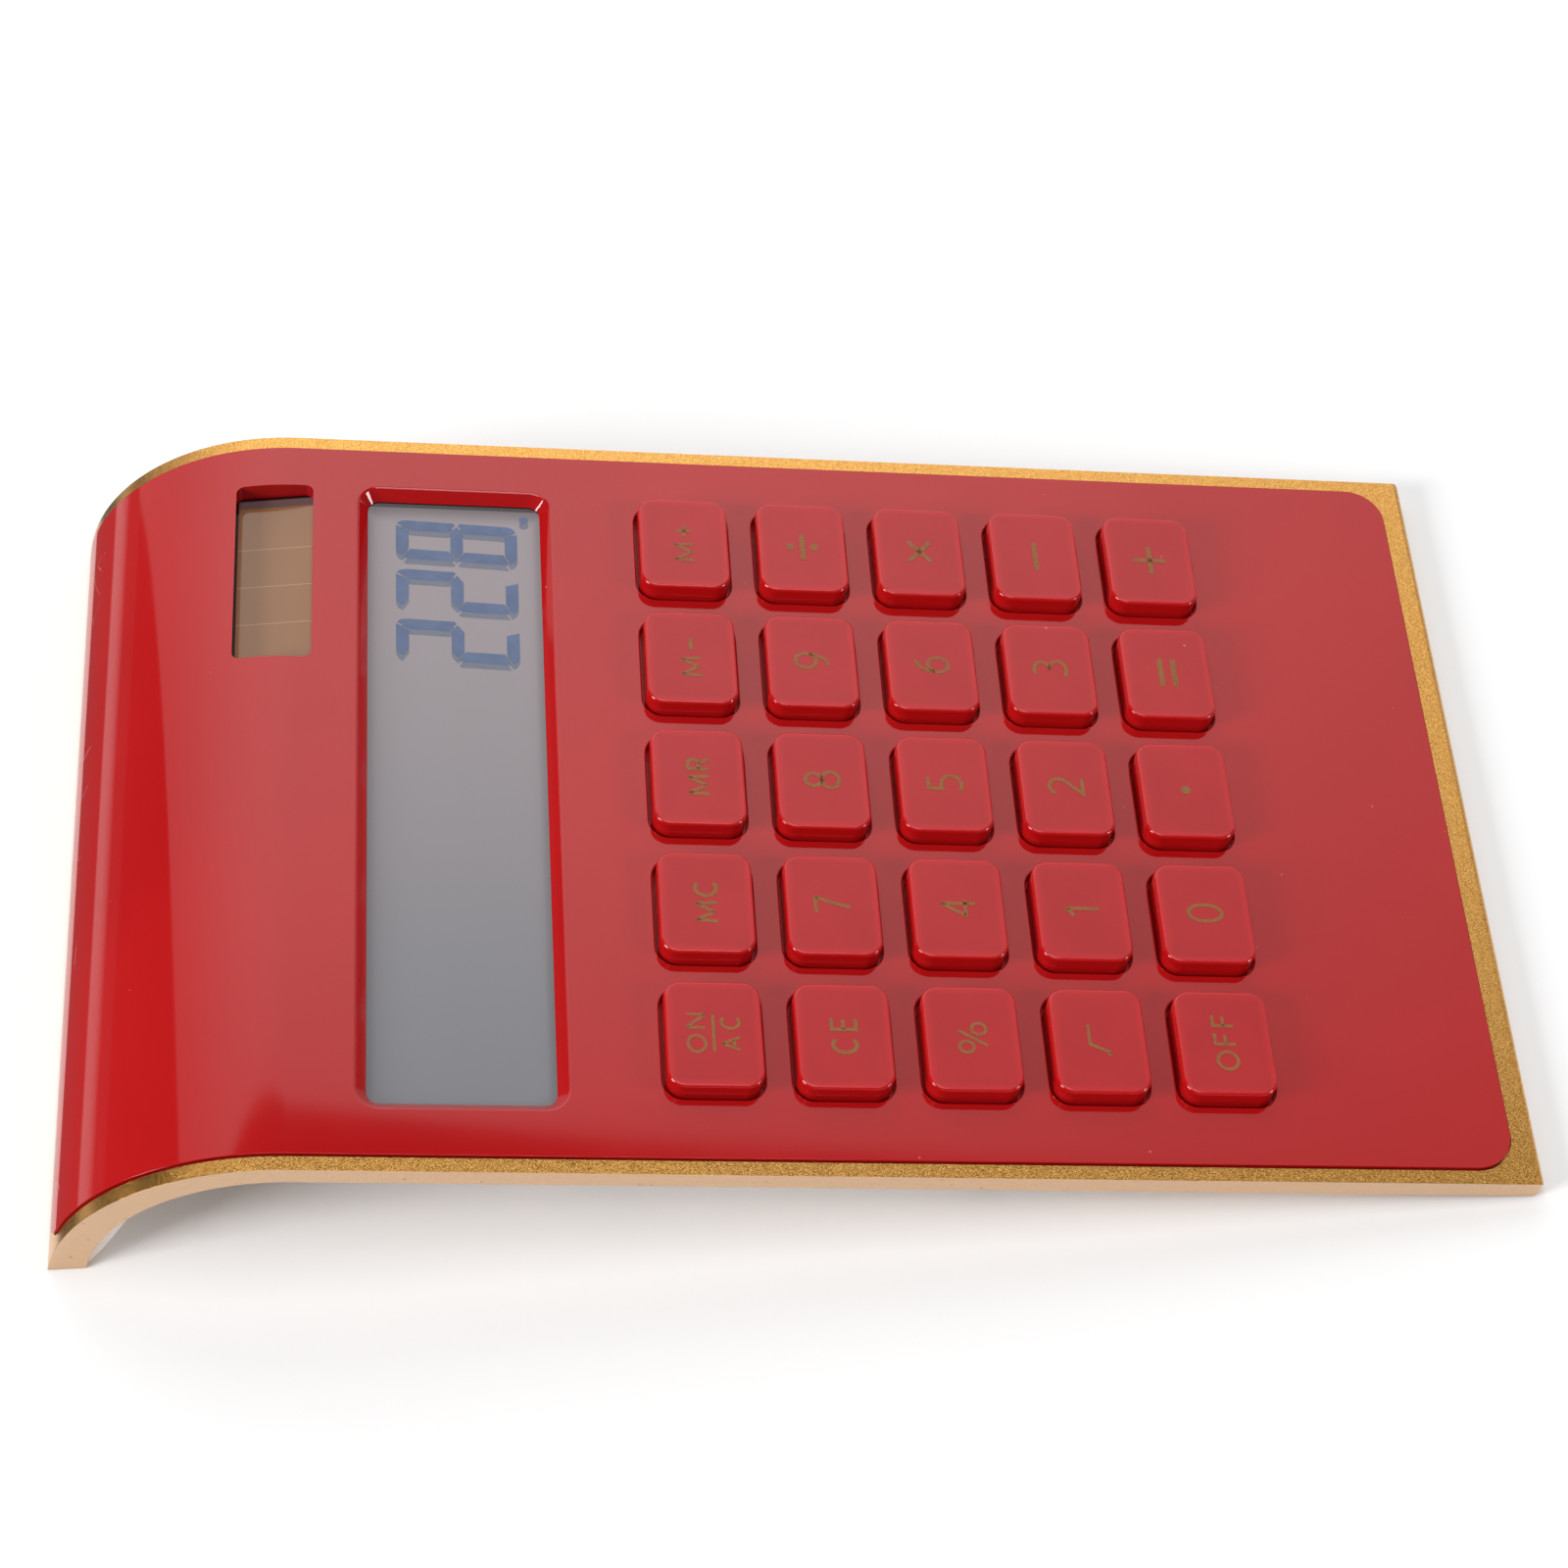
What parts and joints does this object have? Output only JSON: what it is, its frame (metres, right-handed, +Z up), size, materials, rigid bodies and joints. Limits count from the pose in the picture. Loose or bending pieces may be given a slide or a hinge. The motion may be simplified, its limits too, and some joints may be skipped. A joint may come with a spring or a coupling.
{
  "type": "desk calculator",
  "caption": "Thin solar desk calculator with a glossy red face, raised keys, a wide display and a bent-down display end that props it up",
  "frame": {"origin": "on the table under the middle of the calculator", "axes": "+Z up, +Y towards the display end, +X to the right of someone using it"},
  "size_m": [0.1, 0.1634, 0.0199],
  "materials": {
    "red_gloss": "mirror gloss red plastic",
    "red_key": "satin top, glossy sides",
    "gold_paint": "plastic with fine metallic gold paint",
    "pale_plastic": "fine moulded texture",
    "white_plastic": "plain moulding",
    "steel": "nickel plated",
    "cell_steel": "brushed can",
    "black_rubber": "matte",
    "clear_silicone": "translucent",
    "carbon_print": "printed carbon",
    "board_green": "solder mask",
    "black_epoxy": "glossy drop",
    "ceramic_tan": "fired ceramic",
    "ceramic_black": "fired ceramic",
    "orange_glass": "glass body",
    "polariser_grey": "anti-glare film",
    "display_glass": "clear",
    "reflector_foil": "soft silver",
    "flex_film": "printed film",
    "solar_glass": "brown cell behind glass",
    "black_foam": "soft foam",
    "contact_brass": "plated strip",
    "wire_red": "insulated",
    "wire_black": "insulated"
  },
  "bodies": {
    "housing": {"face_panel": "red_gloss", "gold_frame": "gold_paint", "back_cover": "pale_plastic", "battery_door": "pale_plastic", "door_screw": "steel", "case_screws": "steel", "rubber_feet": "black_rubber", "key_mat": "clear_silicone", "key_pads": "carbon_print", "circuit_board": "board_green", "board_screws": "steel", "chip_blob": "black_epoxy", "chip_capacitors": "ceramic_tan", "chip_resistors": "ceramic_black", "zener_diode": "orange_glass", "lcd_polariser": "polariser_grey", "lcd_front_glass": "display_glass", "lcd_rear_glass": "display_glass", "lcd_reflector": "reflector_foil", "lcd_holder": "white_plastic", "lcd_flex": "flex_film", "solar_cell": "solar_glass", "solar_pad": "black_foam", "button_cell": "cell_steel", "contact_positive": "contact_brass", "contact_negative": "contact_brass", "wires_positive": "wire_red", "wires_negative": "wire_black"},
    "key_on_ac": {"key_on_ac": "red_key"},
    "key_mc": {"key_mc": "red_key"},
    "key_mr": {"key_mr": "red_key"},
    "key_m_minus": {"key_m_minus": "red_key"},
    "key_m_plus": {"key_m_plus": "red_key"},
    "key_ce": {"key_ce": "red_key"},
    "key_7": {"key_7": "red_key"},
    "key_8": {"key_8": "red_key"},
    "key_9": {"key_9": "red_key"},
    "key_divide": {"key_divide": "red_key"},
    "key_percent": {"key_percent": "red_key"},
    "key_4": {"key_4": "red_key"},
    "key_5": {"key_5": "red_key"},
    "key_6": {"key_6": "red_key"},
    "key_multiply": {"key_multiply": "red_key"},
    "key_root": {"key_root": "red_key"},
    "key_1": {"key_1": "red_key"},
    "key_2": {"key_2": "red_key"},
    "key_3": {"key_3": "red_key"},
    "key_minus": {"key_minus": "red_key"},
    "key_off": {"key_off": "red_key"},
    "key_0": {"key_0": "red_key"},
    "key_point": {"key_point": "red_key"},
    "key_equals": {"key_equals": "red_key"},
    "key_plus": {"key_plus": "red_key"}
  },
  "joints": [
    {"name": "key_on_ac_press", "type": "slide", "parent": "housing", "child": "key_on_ac", "axis": [0, -0.1219, 0.9925], "range_m": [-0.0009, 0], "stiffness_N_per_m": 500, "springref_m": 0.0002, "deforming": ["key_mat"]},
    {"name": "key_mc_press", "type": "slide", "parent": "housing", "child": "key_mc", "axis": [0, -0.1219, 0.9925], "range_m": [-0.0009, 0], "stiffness_N_per_m": 500, "springref_m": 0.0002, "deforming": ["key_mat"]},
    {"name": "key_mr_press", "type": "slide", "parent": "housing", "child": "key_mr", "axis": [0, -0.1219, 0.9925], "range_m": [-0.0009, 0], "stiffness_N_per_m": 500, "springref_m": 0.0002, "deforming": ["key_mat"]},
    {"name": "key_m_minus_press", "type": "slide", "parent": "housing", "child": "key_m_minus", "axis": [0, -0.1219, 0.9925], "range_m": [-0.0009, 0], "stiffness_N_per_m": 500, "springref_m": 0.0002, "deforming": ["key_mat"]},
    {"name": "key_m_plus_press", "type": "slide", "parent": "housing", "child": "key_m_plus", "axis": [0, -0.1219, 0.9925], "range_m": [-0.0009, 0], "stiffness_N_per_m": 500, "springref_m": 0.0002, "deforming": ["key_mat"]},
    {"name": "key_ce_press", "type": "slide", "parent": "housing", "child": "key_ce", "axis": [0, -0.1219, 0.9925], "range_m": [-0.0009, 0], "stiffness_N_per_m": 500, "springref_m": 0.0002, "deforming": ["key_mat"]},
    {"name": "key_7_press", "type": "slide", "parent": "housing", "child": "key_7", "axis": [0, -0.1219, 0.9925], "range_m": [-0.0009, 0], "stiffness_N_per_m": 500, "springref_m": 0.0002, "deforming": ["key_mat"]},
    {"name": "key_8_press", "type": "slide", "parent": "housing", "child": "key_8", "axis": [0, -0.1219, 0.9925], "range_m": [-0.0009, 0], "stiffness_N_per_m": 500, "springref_m": 0.0002, "deforming": ["key_mat"]},
    {"name": "key_9_press", "type": "slide", "parent": "housing", "child": "key_9", "axis": [0, -0.1219, 0.9925], "range_m": [-0.0009, 0], "stiffness_N_per_m": 500, "springref_m": 0.0002, "deforming": ["key_mat"]},
    {"name": "key_divide_press", "type": "slide", "parent": "housing", "child": "key_divide", "axis": [0, -0.1219, 0.9925], "range_m": [-0.0009, 0], "stiffness_N_per_m": 500, "springref_m": 0.0002, "deforming": ["key_mat"]},
    {"name": "key_percent_press", "type": "slide", "parent": "housing", "child": "key_percent", "axis": [0, -0.1219, 0.9925], "range_m": [-0.0009, 0], "stiffness_N_per_m": 500, "springref_m": 0.0002, "deforming": ["key_mat"]},
    {"name": "key_4_press", "type": "slide", "parent": "housing", "child": "key_4", "axis": [0, -0.1219, 0.9925], "range_m": [-0.0009, 0], "stiffness_N_per_m": 500, "springref_m": 0.0002, "deforming": ["key_mat"]},
    {"name": "key_5_press", "type": "slide", "parent": "housing", "child": "key_5", "axis": [0, -0.1219, 0.9925], "range_m": [-0.0009, 0], "stiffness_N_per_m": 500, "springref_m": 0.0002, "deforming": ["key_mat"]},
    {"name": "key_6_press", "type": "slide", "parent": "housing", "child": "key_6", "axis": [0, -0.1219, 0.9925], "range_m": [-0.0009, 0], "stiffness_N_per_m": 500, "springref_m": 0.0002, "deforming": ["key_mat"]},
    {"name": "key_multiply_press", "type": "slide", "parent": "housing", "child": "key_multiply", "axis": [0, -0.1219, 0.9925], "range_m": [-0.0009, 0], "stiffness_N_per_m": 500, "springref_m": 0.0002, "deforming": ["key_mat"]},
    {"name": "key_root_press", "type": "slide", "parent": "housing", "child": "key_root", "axis": [0, -0.1219, 0.9925], "range_m": [-0.0009, 0], "stiffness_N_per_m": 500, "springref_m": 0.0002, "deforming": ["key_mat"]},
    {"name": "key_1_press", "type": "slide", "parent": "housing", "child": "key_1", "axis": [0, -0.1219, 0.9925], "range_m": [-0.0009, 0], "stiffness_N_per_m": 500, "springref_m": 0.0002, "deforming": ["key_mat"]},
    {"name": "key_2_press", "type": "slide", "parent": "housing", "child": "key_2", "axis": [0, -0.1219, 0.9925], "range_m": [-0.0009, 0], "stiffness_N_per_m": 500, "springref_m": 0.0002, "deforming": ["key_mat"]},
    {"name": "key_3_press", "type": "slide", "parent": "housing", "child": "key_3", "axis": [0, -0.1219, 0.9925], "range_m": [-0.0009, 0], "stiffness_N_per_m": 500, "springref_m": 0.0002, "deforming": ["key_mat"]},
    {"name": "key_minus_press", "type": "slide", "parent": "housing", "child": "key_minus", "axis": [0, -0.1219, 0.9925], "range_m": [-0.0009, 0], "stiffness_N_per_m": 500, "springref_m": 0.0002, "deforming": ["key_mat"]},
    {"name": "key_off_press", "type": "slide", "parent": "housing", "child": "key_off", "axis": [0, -0.1219, 0.9925], "range_m": [-0.0009, 0], "stiffness_N_per_m": 500, "springref_m": 0.0002, "deforming": ["key_mat"]},
    {"name": "key_0_press", "type": "slide", "parent": "housing", "child": "key_0", "axis": [0, -0.1219, 0.9925], "range_m": [-0.0009, 0], "stiffness_N_per_m": 500, "springref_m": 0.0002, "deforming": ["key_mat"]},
    {"name": "key_point_press", "type": "slide", "parent": "housing", "child": "key_point", "axis": [0, -0.1219, 0.9925], "range_m": [-0.0009, 0], "stiffness_N_per_m": 500, "springref_m": 0.0002, "deforming": ["key_mat"]},
    {"name": "key_equals_press", "type": "slide", "parent": "housing", "child": "key_equals", "axis": [0, -0.1219, 0.9925], "range_m": [-0.0009, 0], "stiffness_N_per_m": 500, "springref_m": 0.0002, "deforming": ["key_mat"]},
    {"name": "key_plus_press", "type": "slide", "parent": "housing", "child": "key_plus", "axis": [0, -0.1219, 0.9925], "range_m": [-0.0009, 0], "stiffness_N_per_m": 500, "springref_m": 0.0002, "deforming": ["key_mat"]}
  ]
}
